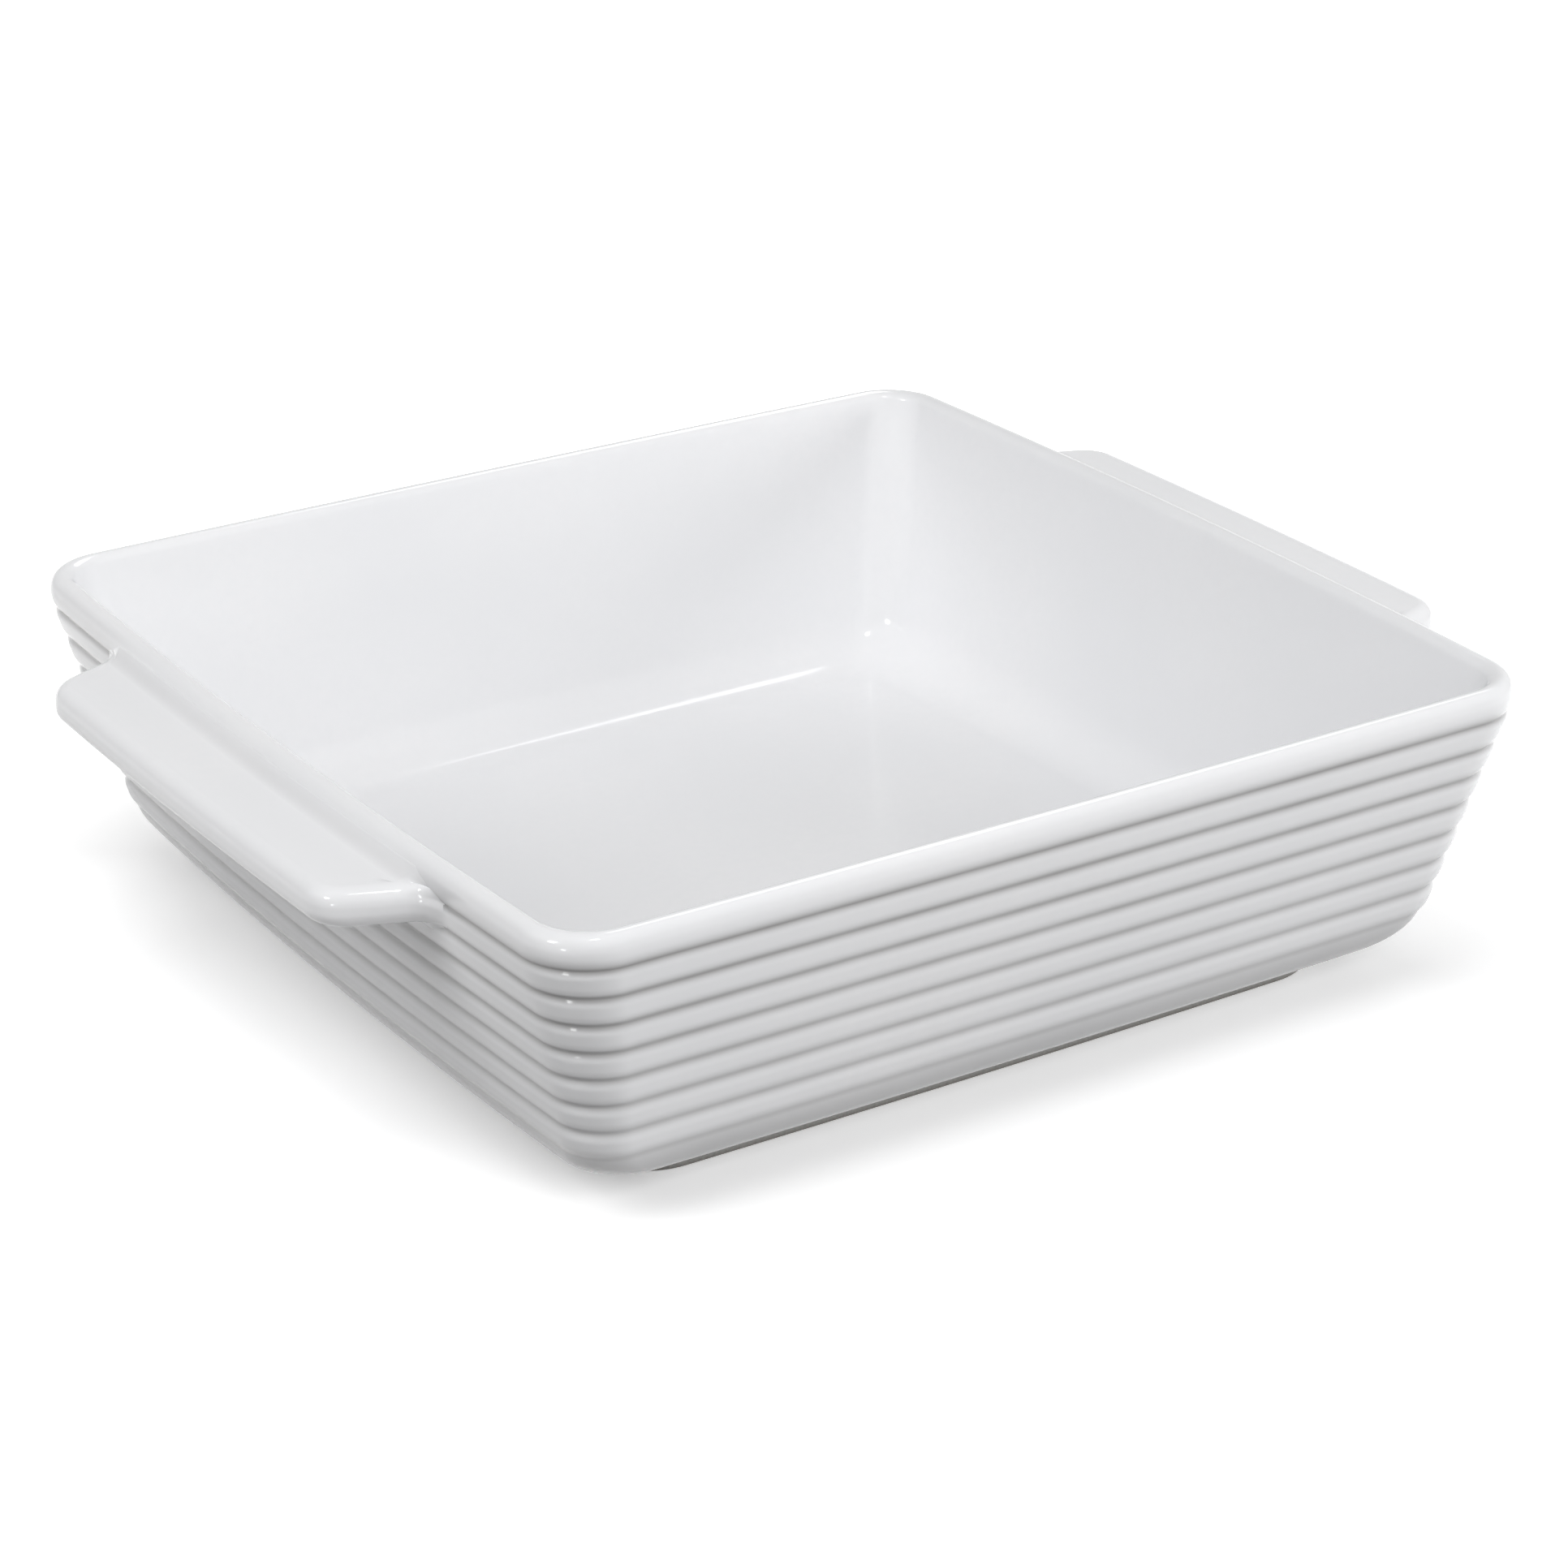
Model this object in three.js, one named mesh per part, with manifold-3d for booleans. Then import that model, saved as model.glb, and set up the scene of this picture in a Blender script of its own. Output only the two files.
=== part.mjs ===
// A square gratin dish in glazed stoneware: flared walls with level ribs, a rounded rim bead and a
// low foot ring, with a flat shelf handle luted to each of two opposite walls.
// Millimetres, +Z up. The origin is the middle of the foot ring's bearing face.
import * as THREE from 'three';
import { mergeVertices } from 'three/addons/utils/BufferGeometryUtils.js';
import Module from 'manifold-3d';

// Plan of the rim
const RIM_SIDE = 240; // from side to side at the corners, before the sides bow
const HANDLE_SIDE_BOW = 3; // outward bow at the middle of the two sides that carry handles
const PLAIN_SIDE_BOW = 0.8; // the same on the other two sides
const CORNER_RADIUS = 14;
const INNER_CORNER_RADIUS = 10;

// Rim and walls
const DISH_HEIGHT = 71.2;
const BEAD_DROP = 3.4; // from the top of the rim down to the widest point of its bead
const CROWN_DROP = 2.6; // from the top of the rim down to the start of the inner wall
const WALL_THICKNESS = 5.4; // level distance from the foot of a groove to the inner wall
const WALL_DRAFT = THREE.MathUtils.degToRad(14);
const FIRST_GROOVE_DROP = 7.2; // from the top of the rim
const FIRST_GROOVE_DEPTH = 1; // how far the first groove lies inside the bead
const BEAD_TUCK = 1.5; // height over which the bead rounds into the first groove
const GROOVE_PITCH = 6.9;
const GROOVE_DEPTH = 0.65; // from the flat of a rib in to the foot of a groove
const GROOVE_LIP = 2; // height over which the edge of a rib rounds into a groove
const WAIST_CORNER_RADIUS = 10; // of the plan at the last groove, where the corners are tightest

// Base
const LOWEST_GROOVE = 15; // no groove is cut below this height
const KNEE_HEIGHT = 5; // where the wall's slope would meet the slope under the base
const KNEE_REACH = 15.7; // level distance from the last groove in to the foot ring
const FOOT_HEIGHT = 1.8;
const FOOT_WIDTH = 5;
const FOOT_CORNER_RADIUS = 15;
const FLOOR_THICKNESS = 6;
const FLOOR_FILLET = 14;

// Handles
const HANDLE_REACH = 19; // past the rim
const HANDLE_ROOT_LENGTH = 144; // between its two ends, at the rim
const HANDLE_NOSE_LENGTH = 128; // the same at its outer edge, before the corners are rounded
const HANDLE_DROP = 5.2; // from the top of the rim to the flat of the shelf
const HANDLE_THICKNESS = 8.5;
const HANDLE_EDGE_RADIUS = 3.6;
const HANDLE_CORNER_RADIUS = 9;
const HANDLE_TOP_FILLET = 4;
const HANDLE_UNDER_FILLET = 3;
const HANDLE_END_FILLET = 4;
const FILLET_LIP = 0.5; // blunt edge where a fillet runs out on the wall
const ROOT_DEPTH = 6; // how far the uncut lug runs into the wall
const LUTING_GAP = 0.3; // the slip joint between a handle and the wall

// Fineness of the facets
const CURVE_STEPS = 4;
const LIP_STEPS = 3;
const CORNER_STEPS = 7;
const SIDE_STEPS = 5;
const FILLET_STEPS = 4;
const NOSE_STEPS = 6;

const GLAZE_COLOUR = 0xf1f1f2;
const GLAZE_ROUGHNESS = 0.12;

const wasm = await Module();
wasm.setup();

// Heights and insets that follow from the sizes above. An inset is measured in from the rim's side.
const firstGroove = DISH_HEIGHT - FIRST_GROOVE_DROP;
const grooveCount = 1 + Math.floor((firstGroove - LOWEST_GROOVE) / GROOVE_PITCH);
const crownFoot = DISH_HEIGHT - CROWN_DROP;
const beadHeight = DISH_HEIGHT - BEAD_DROP;
const floorHeight = FOOT_HEIGHT + FLOOR_THICKNESS;
const shelfTop = DISH_HEIGHT - HANDLE_DROP;
const shelfBottom = shelfTop - HANDLE_THICKNESS;
const halfRim = RIM_SIDE / 2;

const grooveInset = (z) => FIRST_GROOVE_DEPTH + (firstGroove - z) * Math.tan(WALL_DRAFT);
const innerInset = (z) => grooveInset(z) + WALL_THICKNESS;
const crownInset = innerInset(crownFoot) / 2;
const lastGroove = firstGroove - (grooveCount - 1) * GROOVE_PITCH;
const waistInset = grooveInset(lastGroove);
const footInset = waistInset + KNEE_REACH;

// Corner radius of the outside at an inset, on the walls and under the base.
const wallRadius = (inset) => (
  THREE.MathUtils.mapLinear(inset, 0, waistInset, CORNER_RADIUS, WAIST_CORNER_RADIUS)
);
const baseRadius = (inset) => {
  const share = Math.min((inset - waistInset) / KNEE_REACH, 1);
  return THREE.MathUtils.lerp(WAIST_CORNER_RADIUS, FOOT_CORNER_RADIUS, share);
};

// Outward bow of a side at a distance along it from its middle.
function bow(depth, along, half) {
  return depth * (1 - (along / half) ** 2);
}

// One level ring of the dish: a rounded square with bowed sides, counter-clockwise from above.
function planRing(inset, z, radius) {
  const half = halfRim - inset;
  const centre = half - radius;
  const corners = [[1, -1], [1, 1], [-1, 1], [-1, -1]];
  const arcs = corners.map(([signX, signY], index) => {
    const start = (index - 1) * Math.PI / 2;
    const end = start + Math.PI / 2;
    const arc = new THREE.EllipseCurve(signX * centre, signY * centre, radius, radius, start, end);
    return arc.getPoints(CORNER_STEPS);
  });
  const flat = arcs.flatMap((arc, index) => {
    const next = arcs[(index + 1) % arcs.length][0];
    const side = new THREE.LineCurve(arc[CORNER_STEPS], next).getPoints(SIDE_STEPS);
    return [...arc, ...side.slice(1, SIDE_STEPS)];
  });
  return flat.map(({ x, y }) => new THREE.Vector3(
    x + Math.sign(x) * bow(HANDLE_SIDE_BOW, y, half) * Math.abs(x) / half,
    y + Math.sign(y) * bow(PLAIN_SIDE_BOW, x, half) * Math.abs(y) / half,
    z,
  ));
}

function middleOf(ring) {
  return ring.reduce((sum, point) => sum.add(point), new THREE.Vector3()).divideScalar(ring.length);
}

// Closed skin through rings of equal count, with each end closed on the middle of its ring.
function loft(rings) {
  const count = rings[0].length;
  const last = rings.length - 1;
  const points = [...rings.flat(), middleOf(rings[0]), middleOf(rings[last])];
  const startCentre = rings.length * count;
  const index = [];
  for (let j = 0; j < count; j += 1) {
    const k = (j + 1) % count;
    index.push(startCentre, j, k);
    for (let i = 0; i < last; i += 1) {
      const upper = i * count;
      const lower = upper + count;
      index.push(upper + j, lower + j, lower + k, upper + j, lower + k, upper + k);
    }
    index.push(last * count + j, startCentre + 1, last * count + k);
  }
  const geometry = new THREE.BufferGeometry().setFromPoints(points);
  geometry.setIndex(index);
  return geometry;
}

// Inside of the dish in (inset, z): the floor's fillet, then the wall up to the crown of the rim.
function insidePath() {
  const centreHeight = floorHeight + FLOOR_FILLET;
  const centreInset = innerInset(centreHeight) + FLOOR_FILLET / Math.cos(WALL_DRAFT);
  const path = new THREE.Path();
  path.absarc(centreInset, centreHeight, FLOOR_FILLET, 1.5 * Math.PI, Math.PI + WALL_DRAFT, true);
  path.lineTo(innerInset(crownFoot), crownFoot);
  return path;
}

// Rounded top of the rim, from the inner wall over to the widest point of the bead.
function crownPath() {
  const path = new THREE.Path();
  path.absellipse(crownInset, crownFoot, crownInset, CROWN_DROP, 0, Math.PI / 2);
  path.absellipse(crownInset, beadHeight, crownInset, BEAD_DROP, Math.PI / 2, Math.PI);
  return path;
}

// A point of the ribbed wall, raised square off the line through the feet of the grooves.
function wallPoint(z, rise) {
  const x = grooveInset(z) - rise * Math.cos(WALL_DRAFT);
  return new THREE.Vector2(x, z - rise * Math.sin(WALL_DRAFT));
}

// Ribbed wall, from the bead down to the last groove. Each rib is flat between two rounded lips.
function wallPath() {
  const lip = Math.min(GROOVE_LIP, GROOVE_PITCH / 2);
  const path = new THREE.Path();
  path.moveTo(0, beadHeight);
  path.quadraticCurveTo(0, firstGroove + BEAD_TUCK, FIRST_GROOVE_DEPTH, firstGroove);
  for (let i = 1; i < grooveCount; i += 1) {
    const foot = firstGroove - i * GROOVE_PITCH;
    const head = foot + GROOVE_PITCH;
    const flat = [head - lip, foot + lip].map((z) => wallPoint(z, GROOVE_DEPTH));
    const bends = [head - lip / 2, foot + lip / 2].map((z) => wallPoint(z, GROOVE_DEPTH));
    const groove = wallPoint(foot, 0);
    path.quadraticCurveTo(bends[0].x, bends[0].y, flat[0].x, flat[0].y);
    path.lineTo(flat[1].x, flat[1].y);
    path.quadraticCurveTo(bends[1].x, bends[1].y, groove.x, groove.y);
  }
  return path;
}

// Knee of the base, the foot ring and the recess inside the ring.
function basePath() {
  const path = new THREE.Path();
  path.moveTo(waistInset, lastGroove);
  path.quadraticCurveTo(grooveInset(KNEE_HEIGHT), KNEE_HEIGHT, footInset, FOOT_HEIGHT);
  path.lineTo(footInset, 0);
  path.lineTo(footInset + FOOT_WIDTH, 0);
  path.lineTo(footInset + FOOT_WIDTH, FOOT_HEIGHT);
  return path;
}

// Rings along a path, with a corner radius that may depend on the inset.
function ringsAlong(path, steps, radiusAt) {
  return path.getPoints(steps).map((point) => planRing(point.x, point.y, radiusAt(point.x)));
}

function dishBody() {
  const rimWidth = innerInset(crownFoot);
  const crownRadius = (inset) => (
    THREE.MathUtils.mapLinear(inset, 0, rimWidth, CORNER_RADIUS, INNER_CORNER_RADIUS)
  );
  return loft([
    ...ringsAlong(insidePath(), CURVE_STEPS, () => INNER_CORNER_RADIUS),
    ...ringsAlong(crownPath(), CURVE_STEPS, crownRadius).slice(1),
    ...ringsAlong(wallPath(), LIP_STEPS, wallRadius).slice(1),
    ...ringsAlong(basePath(), CURVE_STEPS, baseRadius).slice(1),
  ]);
}

// Outside of the rim and walls in (inset, z), from the top of the rim down to the last groove.
function outsideProfile() {
  const outerCrown = crownPath().getPoints(CURVE_STEPS).filter((point) => point.x <= crownInset);
  return [...outerCrown, ...wallPath().getPoints(LIP_STEPS).slice(1)];
}

// How far the outside lies in from the rim's side at a height.
function outsideInset(z) {
  const profile = outsideProfile();
  const below = profile.findIndex((point) => point.y <= z);
  const [upper, lower] = [profile[below - 1], profile[below]];
  return THREE.MathUtils.mapLinear(z, lower.y, upper.y, lower.x, upper.x);
}

// The outside as a filled block, grown by the luting gap: what a handle is cut by.
function wallBlock() {
  const profile = outsideProfile();
  const grown = profile.map((point, i) => {
    const before = profile[Math.max(i - 1, 0)];
    const after = profile[Math.min(i + 1, profile.length - 1)];
    const along = after.clone().sub(before).normalize();
    return new THREE.Vector2(point.x + along.y * LUTING_GAP, point.y - along.x * LUTING_GAP);
  });
  return loft(grown.map((point) => planRing(point.x, point.y, wallRadius(point.x))));
}

// Arc of a given radius that rounds the corner between two straight runs.
function filletArc(before, corner, after, radius) {
  const back = before.clone().sub(corner).normalize();
  const ahead = after.clone().sub(corner).normalize();
  const half = back.angleTo(ahead) / 2;
  const inwards = back.clone().add(ahead).normalize();
  const centre = corner.clone().addScaledVector(inwards, radius / Math.sin(half));
  const start = corner.clone().addScaledVector(back, radius / Math.tan(half)).sub(centre).angle();
  const end = corner.clone().addScaledVector(ahead, radius / Math.tan(half)).sub(centre).angle();
  const turn = Math.atan2(Math.sin(end - start), Math.cos(end - start));
  const arc = new THREE.EllipseCurve(centre.x, centre.y, radius, radius, start, start + turn, turn < 0);
  return arc.getPoints(FILLET_STEPS);
}

// One level outline of a handle, in (reach past the rim, distance along the side), where the ends are
// drawn in by a given inset. It runs from the wall round the nose and back to the wall.
function handleOutline(reach, wallReach, inset) {
  const root = new THREE.Vector2(0, HANDLE_ROOT_LENGTH / 2);
  const nose = new THREE.Vector2(HANDLE_REACH, HANDLE_NOSE_LENGTH / 2);
  const slope = (nose.y - root.y) / (nose.x - root.x);
  const drawn = inset * Math.hypot(1, slope);
  const endAt = (u) => new THREE.Vector2(u, root.y + slope * u - drawn);
  const wall = endAt(wallReach);
  const corner = endAt(reach);
  const room = wall.distanceTo(corner);
  const wallRun = new THREE.Vector2(wallReach, RIM_SIDE);
  const noseRun = new THREE.Vector2(reach, 0);
  const endRadius = Math.min(HANDLE_END_FILLET, room / 2);
  const cornerRadius = Math.min(HANDLE_CORNER_RADIUS - inset, room / 2);
  const half = [
    ...filletArc(wallRun, wall, corner, endRadius),
    ...filletArc(wall, corner, noseRun, cornerRadius),
  ];
  half.unshift(new THREE.Vector2(wallReach - ROOT_DEPTH, half[0].y));
  const far = half.at(-1).y;
  const edge = [];
  for (let i = 1; i < NOSE_STEPS; i += 1) {
    edge.push(new THREE.Vector2(reach, far * (2 * i / NOSE_STEPS - 1)));
  }
  const mirrored = half.map((point) => new THREE.Vector2(point.x, -point.y));
  return [...mirrored, ...edge, ...half.reverse()];
}

// Section of a handle in (reach, z), from the rim down: upper fillet, flat of the shelf, rounded nose,
// underside and lower fillet.
function handleSection() {
  const noseStart = HANDLE_REACH - HANDLE_EDGE_RADIUS;
  const upperEnd = shelfTop + HANDLE_TOP_FILLET;
  const upperLip = LUTING_GAP + FILLET_LIP - outsideInset(upperEnd);
  const lowerEnd = shelfBottom - HANDLE_UNDER_FILLET;
  const lowerLip = LUTING_GAP + FILLET_LIP - outsideInset(lowerEnd);
  const path = new THREE.Path();
  path.absarc(upperLip + HANDLE_TOP_FILLET, upperEnd, HANDLE_TOP_FILLET, Math.PI, 1.5 * Math.PI);
  path.absarc(noseStart, shelfTop - HANDLE_EDGE_RADIUS, HANDLE_EDGE_RADIUS, Math.PI / 2, 0, true);
  path.absarc(noseStart, shelfBottom + HANDLE_EDGE_RADIUS, HANDLE_EDGE_RADIUS, 0, -Math.PI / 2, true);
  path.absarc(lowerLip + HANDLE_UNDER_FILLET, lowerEnd, HANDLE_UNDER_FILLET, Math.PI / 2, Math.PI);
  return path.getPoints(CURVE_STEPS);
}

// A handle lug on the +X side, cut to seat against the ribbed wall.
function handleLug() {
  const rings = handleSection().map(({ x: reach, y: z }) => {
    const inset = Math.min(HANDLE_REACH - reach, HANDLE_EDGE_RADIUS);
    return handleOutline(reach, -outsideInset(z), inset).map(({ x, y }) => (
      new THREE.Vector3(halfRim + x + bow(HANDLE_SIDE_BOW, y, halfRim), y, z)
    ));
  });
  return toGeometry(toSolid(loft(rings)).subtract(toSolid(wallBlock())));
}

function toSolid(geometry) {
  const merged = mergeVertices(geometry);
  return new wasm.Manifold(new wasm.Mesh({
    numProp: 3,
    vertProperties: merged.attributes.position.array,
    triVerts: new Uint32Array(merged.index.array),
  }));
}

function toGeometry(solid) {
  const mesh = solid.getMesh();
  const geometry = new THREE.BufferGeometry();
  geometry.setAttribute('position', new THREE.BufferAttribute(mesh.vertProperties, mesh.numProp));
  geometry.setIndex(new THREE.BufferAttribute(mesh.triVerts, 1));
  return geometry;
}

function glazed(name, geometry) {
  geometry.computeVertexNormals();
  const material = new THREE.MeshStandardMaterial({
    color: GLAZE_COLOUR,
    roughness: GLAZE_ROUGHNESS,
    metalness: 0,
  });
  const mesh = new THREE.Mesh(geometry, material);
  mesh.name = name;
  return mesh;
}

const dish = new THREE.Group();
const rightHandle = glazed('right_handle', handleLug());
const leftHandle = glazed('left_handle', handleLug());
leftHandle.rotation.z = Math.PI;
dish.add(glazed('dish_body', dishBody()), rightHandle, leftHandle);

export default dish;
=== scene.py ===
"""Looks of a square gratin dish in white glazed stoneware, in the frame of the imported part.

The body is one section swept round the plan of the rim, and a shelf handle is seated on each of two
opposite walls. Metres, +Z up, with the foot ring standing on the floor at zero.
"""
import math
from itertools import pairwise

import bpy
import numpy as np
from mathutils import Matrix, Vector
from mathutils.bvhtree import BVHTree


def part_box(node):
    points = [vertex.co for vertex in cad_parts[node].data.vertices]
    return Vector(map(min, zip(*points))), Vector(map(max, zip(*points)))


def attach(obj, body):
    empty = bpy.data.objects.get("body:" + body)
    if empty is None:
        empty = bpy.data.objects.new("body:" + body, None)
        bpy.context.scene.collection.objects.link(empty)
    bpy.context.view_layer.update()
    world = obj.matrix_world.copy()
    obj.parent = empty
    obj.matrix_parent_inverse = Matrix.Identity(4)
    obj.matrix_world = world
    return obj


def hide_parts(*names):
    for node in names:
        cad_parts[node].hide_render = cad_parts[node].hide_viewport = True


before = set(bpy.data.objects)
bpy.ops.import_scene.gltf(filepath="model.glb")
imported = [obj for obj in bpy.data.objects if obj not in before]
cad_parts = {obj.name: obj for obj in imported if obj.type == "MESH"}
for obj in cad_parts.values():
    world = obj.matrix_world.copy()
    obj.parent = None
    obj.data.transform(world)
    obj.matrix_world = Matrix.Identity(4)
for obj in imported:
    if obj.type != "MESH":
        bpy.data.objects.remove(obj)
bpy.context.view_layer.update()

MM = 0.001

# Highest corners of two pieces, which the frame gives
body_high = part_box("dish_body")[1]
handle_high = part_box("right_handle")[1]

# Plan of the rim
HANDLE_SIDE_BOW = 3 * MM
PLAIN_SIDE_BOW = 0.8 * MM
CORNER_RADIUS = 14 * MM
INNER_CORNER_RADIUS = 10 * MM
WAIST_CORNER_RADIUS = 10 * MM
FOOT_CORNER_RADIUS = 15 * MM
HALF_SIDE = body_high.y - PLAIN_SIDE_BOW

# Section of the rim and walls, as heights and as insets from the rim's side
RIM_HEIGHT = body_high.z
BEAD_HEIGHT = RIM_HEIGHT - 3.4 * MM
CROWN_FOOT = RIM_HEIGHT - 2.6 * MM
WALL_THICKNESS = 5.4 * MM
WALL_DRAFT = math.radians(14)
FIRST_GROOVE = RIM_HEIGHT - 7.2 * MM
FIRST_GROOVE_DEPTH = 1.0 * MM
BEAD_TUCK = 1.5 * MM
RIB_PITCH = 6.9 * MM
RIB_COUNT = 7
GROOVE_DEPTH = 0.65 * MM
LIP_UNDER_GROOVE = 1.9 * MM
LIP_OVER_GROOVE = 2.8 * MM
GROOVE_SOFTNESS = 0.06 * MM
LAST_GROOVE = FIRST_GROOVE - RIB_COUNT * RIB_PITCH

# Base
KNEE_HEIGHT = 7.3 * MM
KNEE_REACH = 15.7 * MM
FOOT_HEIGHT = 3.2 * MM
FOOT_WIDTH = 5 * MM
FOOT_ROUNDING = 0.4 * MM
FLOOR_HEIGHT = FOOT_HEIGHT + 4.6 * MM
FLOOR_FILLET = 14 * MM

# Handles, as reaches past the rim's side and as distances along it
HANDLE_REACH = handle_high.x - HALF_SIDE - HANDLE_SIDE_BOW
SHELF_TOP = RIM_HEIGHT - 5.2 * MM
SHELF_BOTTOM = SHELF_TOP - 8.5 * MM
ROOT_LENGTH = 144 * MM
NOSE_LENGTH = 128 * MM
EDGE_RADIUS = 3.6 * MM
NOSE_CORNER_RADIUS = 9 * MM
END_FILLET = 7.5 * MM
MITRE_ROUNDING = 2.4 * MM
UPPER_RUN_OUT = RIM_HEIGHT - 2.35 * MM
LOWER_RUN_OUT = SHELF_BOTTOM - 2.6 * MM
ROOT_DEPTH = 2.4 * MM
SEAT_SINK = 0.02 * MM

# Steps along the body's section and round its plan
FILLET_STEPS = 18
INNER_WALL_STEPS = 14
INNER_CROWN_STEPS = 12
OUTER_CROWN_STEPS = 16
BEAD_STEPS = 14
RIB_STEPS = 20
KNEE_STEPS = 24
FOOT_EDGE_STEPS = 6
CLOSING_STEPS = 8
CORNER_STEPS = 20
SIDE_STEPS = 36
MERGE_DISTANCE = 0.001 * MM

# Steps round a handle's outline and along its section
END_FILLET_STEPS = 24
NOSE_CORNER_STEPS = 14
NOSE_STEPS = 24
UPPER_FILLET_STEPS = 14
LOWER_FILLET_STEPS = 12
EDGE_STEPS = 16
SHELF_STEPS = 6
NOSE_FACE_STEPS = 4

# Glaze and bare clay. Scales are in repeats per metre, heights in metres.
GLAZE_WHITE = (0.84, 0.84, 0.85, 1)
GLAZE_CLOUD = (0.81, 0.815, 0.83, 1)
# Dark grey for pooled glaze and for the painted shade in grooves, under the knee and in hollows
GLAZE_POOL_SHADE = (0.2, 0.193, 0.188, 1)
GLAZE_ROUGHNESS = (0.09, 0.15)
# Bare clay, darkened so that the foot ring paints the shade along the base
CLAY_AND_SHADE_PALE = (0.29, 0.28, 0.26, 1)
CLAY_AND_SHADE_DARK = (0.21, 0.2, 0.18, 1)
CLAY_ROUGHNESS = 0.8
CLOUD_SCALE = 16
MOTTLE_SCALE = 420
MOTTLE_SHARE = 0.5
POOL_SHADE_SCALE = 30
POOL_SHADE_SHARE = (0.76, 0.92)
GLOSS_SCALE = 55
RIPPLE_SCALE = 24
RIPPLE_HEIGHT = 0.08 * MM
PEEL_HEIGHT = 0.003 * MM
GRAIN_SCALE = 1600
GRAIN_HEIGHT = 0.03 * MM
NOISE_DETAIL = 2.0
RIPPLE_DETAIL = 1.0
NOISE_RANGE = (0.3, 0.7)

# Painted shade in the glaze's colour. In the grooves, where the glaze also pools, its loss from groove to
# groove; then its shares elsewhere, painted shade under the knee and in the handles' hollows
POOL_SHADE_FADING = 0.08
KNEE_SHADE = 0.33
HOLLOW_SHADE = 0.2

# Camera, fitted to the photograph's rim, grooves and outline. Lens and sensor are in millimetres.
CAMERA_AZIMUTH = math.radians(-32.73)
CAMERA_ELEVATION = math.radians(23.84)
CAMERA_ROLL = math.radians(-0.15)
CAMERA_OFFSET = Vector((5.32 * MM, 28.9 * MM, 952.7 * MM))
CAMERA_LENS = 96.61
CAMERA_SENSOR = 36

# Light. Each lamp has an azimuth and an elevation in degrees, a width, a height and a power in watts.
# The softboxes only shade the dish. The reflected lamps are only seen mirrored in its glaze.
SKY_WHITE = (1, 1, 1, 1)
SKY_LIGHT = 0.02
SKY_SEEN = 1.0
FLOOR_WHITE = (0.9, 0.9, 0.9, 1)
FLOOR_BOUNCE = (0.3, 0.3, 0.3, 1)
FLOOR_GLOW = (0.3, 1.0)
FLOOR_GLOW_FROM = 105 * MM
FLOOR_GLOW_TO = 220 * MM
FLOOR_REACH = 4
LAMP_DISTANCE = 1.6
SOFTBOXES = {
    "front_softbox": (0, 30, 1.2, 0.9, 13.5),
    "left_softbox": (-98, 42, 1.0, 0.8, 11.5),
    "right_softbox": (60, 12, 0.9, 0.7, 11),
    "rear_softbox": (130, 34, 1.2, 0.8, 3.5),
    "overhead": (-70, 72, 0.9, 0.7, 6),
}
REFLECTED_LAMPS = {
    "rim_light": (128, 48, 0.6, 0.6, 6),
    "left_spark": (-80, 36, 0.25, 0.2, 5),
    "top_spark": (-16, 69, 0.2, 0.2, 2.5),
    "corner_spark": (-60, 6, 0.2, 0.2, 1.2),
}


def groove_inset(height):
    """Inset, at a height, of the line through the feet of the grooves."""
    return FIRST_GROOVE_DEPTH + (FIRST_GROOVE - height) * math.tan(WALL_DRAFT)


def inner_inset(height):
    """Inset of the wall's inner face at a height."""
    return groove_inset(height) + WALL_THICKNESS


WAIST_INSET = groove_inset(LAST_GROOVE)
FOOT_INSET = WAIST_INSET + KNEE_REACH
RIM_WIDTH = inner_inset(CROWN_FOOT)


def new_object(name, data):
    """An object in the scene, at the origin."""
    made = bpy.data.objects.new(name, data)
    bpy.context.scene.collection.objects.link(made)
    return made


# Section of the body


def corner_radius(stretch, inset):
    """Radius of the plan's corners on a stretch of the section."""
    if stretch in ("fillet", "inner_wall"):
        return INNER_CORNER_RADIUS
    if "crown" in stretch:
        return np.interp(inset, (0, RIM_WIDTH), (CORNER_RADIUS, INNER_CORNER_RADIUS))
    insets = (0, WAIST_INSET, FOOT_INSET)
    return np.interp(inset, insets, (CORNER_RADIUS, WAIST_CORNER_RADIUS, FOOT_CORNER_RADIUS))


def pool_shading(stretch, height):
    """Painted shade on a stretch of the section, before the grooves are cut: under the bead's lip, where
    glaze also pools, and all over the knee.
    """
    if stretch == "bead":
        return max(0, 1 - (height - FIRST_GROOVE) / LIP_OVER_GROOVE) ** 2
    # Painted shade over the whole knee, where the base turns under
    if stretch == "knee":
        return KNEE_SHADE
    return 0


def arc(centre, radii, start, end, steps):
    """Points on an arc of a circle or an ellipse, with angles in degrees from level towards upright."""
    angles = np.radians(np.linspace(start, end, steps + 1))
    return np.array(centre) + np.array(radii) * np.column_stack((np.cos(angles), np.sin(angles)))


def bend(handles, steps):
    """Points on the Bezier curve of the given handles."""
    share = np.linspace(0, 1, steps + 1)[:, None]
    level = [np.array(handle) for handle in handles]
    while len(level) > 1:
        level = [(1 - share) * first + share * second for first, second in pairwise(level)]
    return level[0]


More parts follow.
